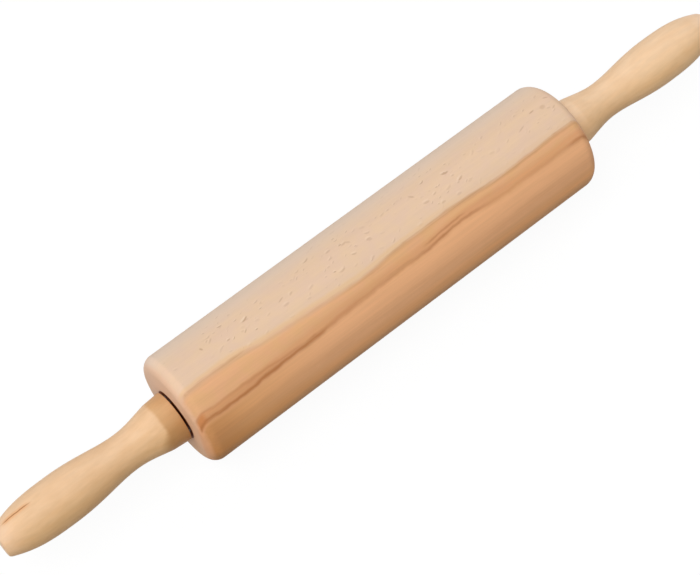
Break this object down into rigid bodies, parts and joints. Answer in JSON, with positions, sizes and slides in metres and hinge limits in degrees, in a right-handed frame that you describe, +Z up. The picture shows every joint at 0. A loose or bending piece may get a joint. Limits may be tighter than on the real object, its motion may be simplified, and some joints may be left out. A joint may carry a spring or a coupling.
{
  "type": "rolling pin",
  "caption": "Beech rolling pin with a round-edged barrel that turns freely on a steel axle with ball bearings, and a turned handle with a collar at each end.",
  "frame": {"origin": "middle of the axle, on the barrel's spin axis", "axes": "+X along the spin axis towards the right handle, +Z up when the barrel lies on a table"},
  "size_m": [0.448, 0.06, 0.06],
  "materials": {
    "barrel_beech": "sanded bare beech, satin",
    "handle_beech": "sanded bare beech, satin",
    "axle_steel": "drawn bright steel",
    "bearing_steel": "ground and polished bearing steel",
    "shield_steel": "pressed sheet steel",
    "cage_nylon": "moulded natural nylon",
    "insert_brass": "turned brass",
    "spacer_nylon": "moulded dark nylon"
  },
  "bodies": {
    "grips": {"axle": "axle_steel", "left_handle": "handle_beech", "left_handle_insert": "insert_brass", "left_spacer": "spacer_nylon", "left_inner_race": "bearing_steel", "right_handle": "handle_beech", "right_handle_insert": "insert_brass", "right_spacer": "spacer_nylon", "right_inner_race": "bearing_steel"},
    "roller": {"barrel": "barrel_beech", "left_outer_race": "bearing_steel", "left_outer_shield": "shield_steel", "left_inner_shield": "shield_steel", "right_outer_race": "bearing_steel", "right_outer_shield": "shield_steel", "right_inner_shield": "shield_steel"},
    "left_ball_set": {"left_ball_cage": "cage_nylon", "left_ball_1": "bearing_steel", "left_ball_2": "bearing_steel", "left_ball_3": "bearing_steel", "left_ball_4": "bearing_steel", "left_ball_5": "bearing_steel", "left_ball_6": "bearing_steel", "left_ball_7": "bearing_steel"},
    "right_ball_set": {"right_ball_cage": "cage_nylon", "right_ball_1": "bearing_steel", "right_ball_2": "bearing_steel", "right_ball_3": "bearing_steel", "right_ball_4": "bearing_steel", "right_ball_5": "bearing_steel", "right_ball_6": "bearing_steel", "right_ball_7": "bearing_steel"}
  },
  "joints": [
    {"name": "barrel_spin", "type": "hinge", "parent": "grips", "child": "roller", "pos_m": [0, 0, 0], "axis": [1, 0, 0], "continuous": true},
    {"name": "left_ball_set_spin", "type": "hinge", "parent": "grips", "child": "left_ball_set", "pos_m": [-0.1185, 0, 0], "axis": [1, 0, 0], "continuous": true},
    {"name": "right_ball_set_spin", "type": "hinge", "parent": "grips", "child": "right_ball_set", "pos_m": [0.1185, 0, 0], "axis": [1, 0, 0], "continuous": true}
  ],
  "couplings": [
    {"joint": "left_ball_set_spin", "follows": "barrel_spin", "ratio": 0.6317},
    {"joint": "right_ball_set_spin", "follows": "barrel_spin", "ratio": 0.6317}
  ]
}
